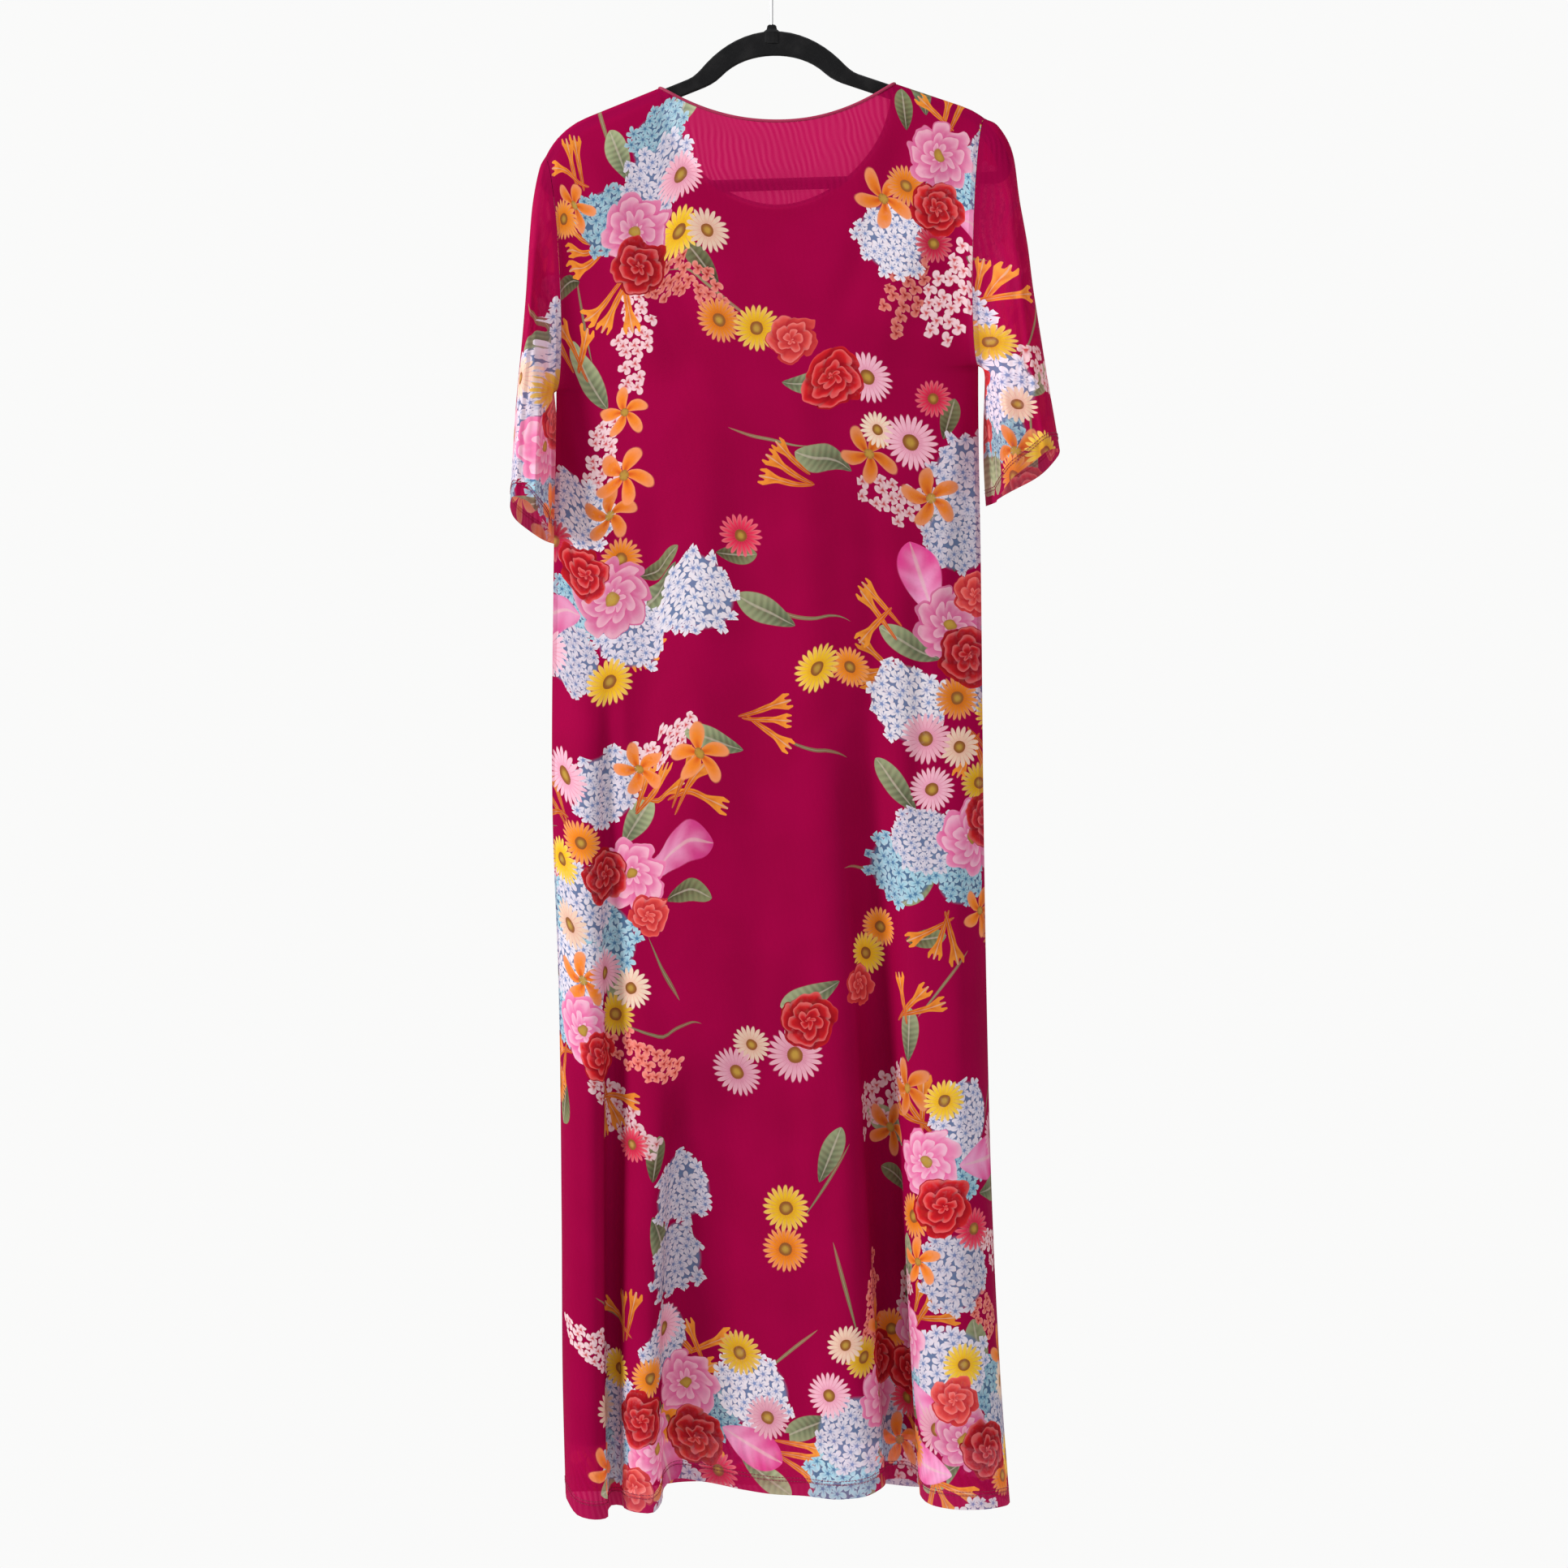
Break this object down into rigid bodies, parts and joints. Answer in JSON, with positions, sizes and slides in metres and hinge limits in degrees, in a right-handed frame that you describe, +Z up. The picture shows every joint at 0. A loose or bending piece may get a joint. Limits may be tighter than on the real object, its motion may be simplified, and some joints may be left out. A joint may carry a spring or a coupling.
{
  "type": "midi dress on a hanger",
  "caption": "Sheer floral stretch-mesh midi dress with elbow sleeves, round neck and plain lining, hung by its shoulders on a slim flocked hanger with a wire hook.",
  "frame": {"origin": "Inside top of the hanger's hook, where a rail carries it.", "axes": "+Z is up. +Y is the side the garment's front faces, and its back faces -Y. +X is to the right of a person who looks at the dress's back, as the picture does."},
  "size_m": [0.515, 0.1104, 1.4691],
  "materials": {
    "printed_mesh": "sheer stretch mesh, printed with garden flowers on berry magenta",
    "lining_jersey": "plain opaque magenta lining jersey",
    "black_flock": "black flock velvet over moulded plastic",
    "bright_steel": "bright plated steel wire"
  },
  "bodies": {
    "root": {"back_panel": "printed_mesh", "front_panel": "printed_mesh", "sleeve_left": "printed_mesh", "sleeve_right": "printed_mesh", "neck_binding": "printed_mesh", "lining_back": "lining_jersey", "lining_front": "lining_jersey", "hanger": "black_flock", "hanger_hook": "bright_steel"}
  },
  "joints": []
}
